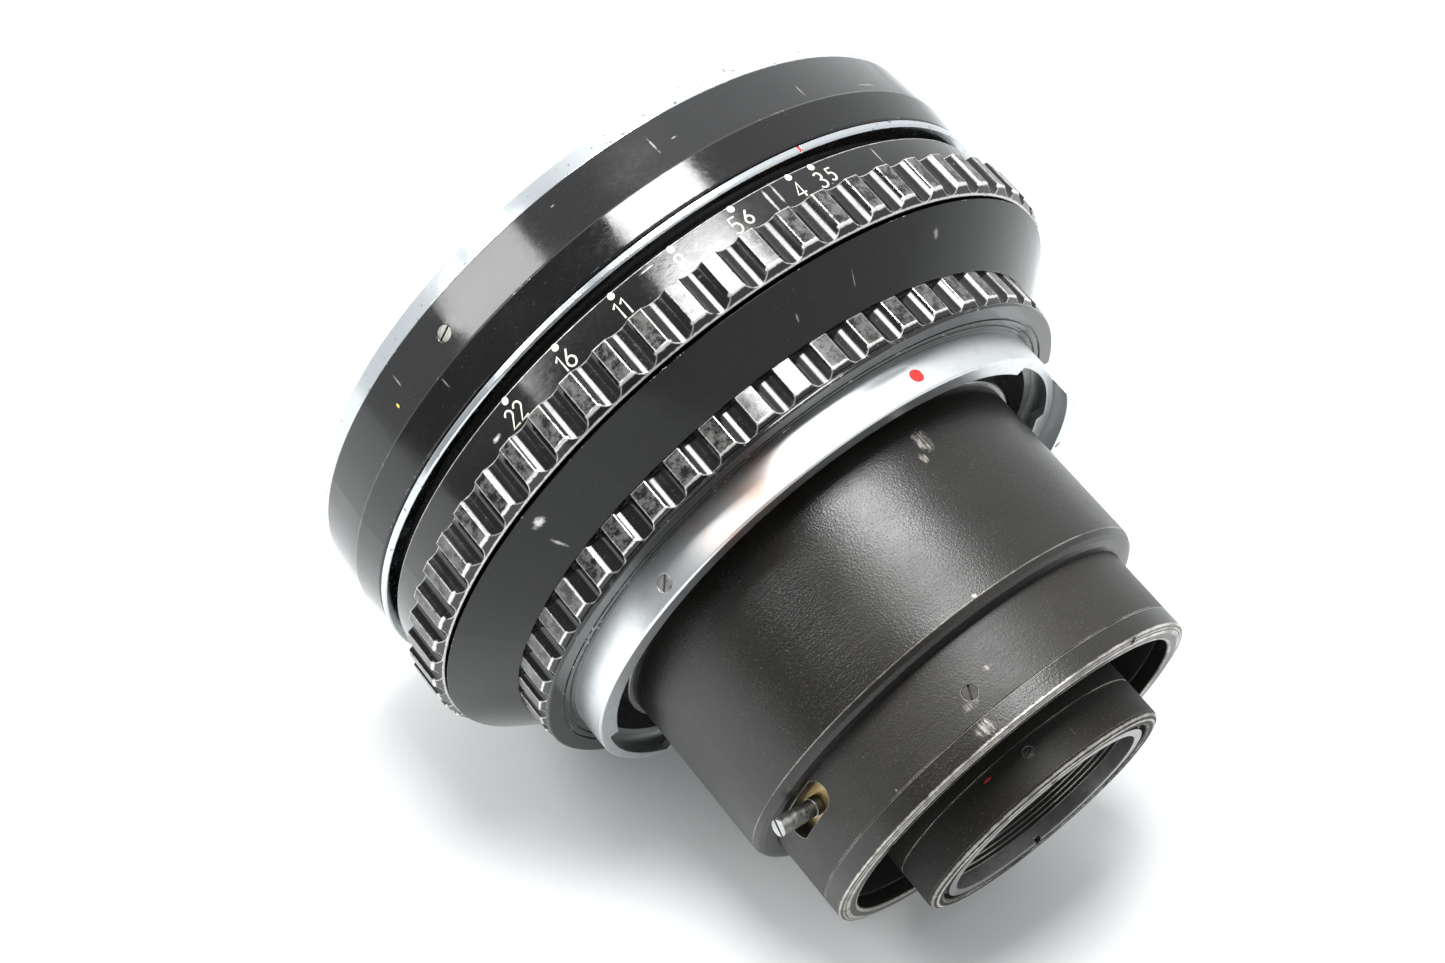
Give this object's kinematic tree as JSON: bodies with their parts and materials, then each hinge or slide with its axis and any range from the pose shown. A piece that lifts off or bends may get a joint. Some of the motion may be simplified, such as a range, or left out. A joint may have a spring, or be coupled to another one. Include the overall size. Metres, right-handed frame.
{
  "type": "camera lens",
  "caption": "Wide-angle lens for a medium-format SLR: chrome filter rim, knurled aperture ring with working iris, bayonet mount, long black rear tube and a side stop-down pin.",
  "frame": {"origin": "centre of the flat seat behind the black flange, on the optical axis, where the lens meets the camera", "axes": "+Y runs along the optical axis from the front glass to the rear, +Z points at the index mark and the red bayonet dot, +X completes a right-handed frame on the side of the stop-down pin"},
  "size_m": [0.09, 0.0779, 0.09],
  "materials": {
    "rim_chrome": "polished chrome plate, lightly scuffed",
    "satin_chrome": "turned and chromed brass",
    "gloss_black": "gloss black enamel, worn to bright metal on the knurls",
    "matte_black": "satin black anodised aluminium",
    "steel": "turned steel",
    "dark_steel": "blackened steel",
    "brass": "turned brass",
    "glass": "coated optical glass",
    "red_paint": "red enamel fill"
  },
  "bodies": {
    "barrel": {"front_rim": "rim_chrome", "name_ring": "gloss_black", "front_barrel": "gloss_black", "front_barrel_screws": "steel", "index_ring": "rim_chrome", "index_mark": "red_paint", "main_barrel": "matte_black", "cone_skirt": "gloss_black", "grip_ring": "gloss_black", "seat_flange": "matte_black", "bayonet_ring": "satin_chrome", "bayonet_liner": "steel", "bayonet_screws": "steel", "bayonet_dot": "red_paint", "locking_lug": "satin_chrome", "lug_screws": "steel", "tube_collar": "steel", "detent_ball": "steel", "detent_spring": "steel", "front_cell": "matte_black", "front_cell_spacer": "matte_black", "front_glass": "glass", "second_glass": "glass", "third_glass": "glass", "third_glass_retainer": "matte_black", "rear_tube": "matte_black", "rear_barrel": "matte_black", "rear_barrel_screws": "dark_steel", "rear_end_ring": "matte_black", "rear_retaining_ring": "matte_black", "rear_bulkhead": "matte_black", "rear_cell_sleeve": "matte_black", "rear_cell": "matte_black", "rear_cell_screw": "dark_steel", "rear_cell_retainer": "steel", "rear_baffle": "matte_black", "rear_glass": "glass", "inner_doublet": "glass", "doublet_retainer": "matte_black", "iris_housing": "matte_black", "iris_cover": "matte_black", "iris_cover_screws": "steel", "return_spring": "steel"},
    "aperture_ring": {"aperture_ring": "gloss_black", "aperture_key": "steel", "transfer_ring": "brass", "transfer_lever": "brass", "cam_ring": "brass"},
    "iris_ring": {"iris_ring": "brass"},
    "stop_down": {"stop_down_pin": "steel", "pin_carrier": "brass"},
    "blade_1": {"iris_blade_1": "dark_steel"},
    "blade_2": {"iris_blade_2": "dark_steel"},
    "blade_3": {"iris_blade_3": "dark_steel"},
    "blade_4": {"iris_blade_4": "dark_steel"},
    "blade_5": {"iris_blade_5": "dark_steel"},
    "blade_6": {"iris_blade_6": "dark_steel"},
    "blade_7": {"iris_blade_7": "dark_steel"}
  },
  "joints": [
    {"name": "aperture_ring_turn", "type": "hinge", "parent": "barrel", "child": "aperture_ring", "pos_m": [0, -0.0155, 0], "axis": [0, -1, 0], "range_deg": [0, 55.45]},
    {"name": "stop_down_turn", "type": "hinge", "parent": "barrel", "child": "stop_down", "pos_m": [0, 0.0277, 0], "axis": [0, -1, 0], "range_deg": [-8, 8], "stiffness_Nm_per_rad": 0.05},
    {"name": "iris_ring_turn", "type": "hinge", "parent": "barrel", "child": "iris_ring", "pos_m": [0, 0.011, 0], "axis": [0, -1, 0], "range_deg": [0, 3.26]},
    {"name": "blade_1_swing", "type": "hinge", "parent": "barrel", "child": "blade_1", "pos_m": [0.0205, 0.0095, 0], "axis": [0, -1, 0], "range_deg": [0, 25.7]},
    {"name": "blade_2_swing", "type": "hinge", "parent": "barrel", "child": "blade_2", "pos_m": [0.01278, 0.0095, 0.01603], "axis": [0, -1, 0], "range_deg": [0, 25.7]},
    {"name": "blade_3_swing", "type": "hinge", "parent": "barrel", "child": "blade_3", "pos_m": [-0.00456, 0.0095, 0.01999], "axis": [0, -1, 0], "range_deg": [0, 25.7]},
    {"name": "blade_4_swing", "type": "hinge", "parent": "barrel", "child": "blade_4", "pos_m": [-0.01847, 0.0095, 0.00889], "axis": [0, -1, 0], "range_deg": [0, 25.7]},
    {"name": "blade_5_swing", "type": "hinge", "parent": "barrel", "child": "blade_5", "pos_m": [-0.01847, 0.0095, -0.00889], "axis": [0, -1, 0], "range_deg": [0, 25.7]},
    {"name": "blade_6_swing", "type": "hinge", "parent": "barrel", "child": "blade_6", "pos_m": [-0.00456, 0.0095, -0.01999], "axis": [0, -1, 0], "range_deg": [0, 25.7]},
    {"name": "blade_7_swing", "type": "hinge", "parent": "barrel", "child": "blade_7", "pos_m": [0.01278, 0.0095, -0.01603], "axis": [0, -1, 0], "range_deg": [0, 25.7]}
  ],
  "couplings": [
    {"joint": "iris_ring_turn", "follows": "aperture_ring_turn", "ratio": 0.058844},
    {"joint": "blade_1_swing", "follows": "aperture_ring_turn", "ratio": 0.46348},
    {"joint": "blade_2_swing", "follows": "aperture_ring_turn", "ratio": 0.46348},
    {"joint": "blade_3_swing", "follows": "aperture_ring_turn", "ratio": 0.46348},
    {"joint": "blade_4_swing", "follows": "aperture_ring_turn", "ratio": 0.46348},
    {"joint": "blade_5_swing", "follows": "aperture_ring_turn", "ratio": 0.46348},
    {"joint": "blade_6_swing", "follows": "aperture_ring_turn", "ratio": 0.46348},
    {"joint": "blade_7_swing", "follows": "aperture_ring_turn", "ratio": 0.46348}
  ]
}
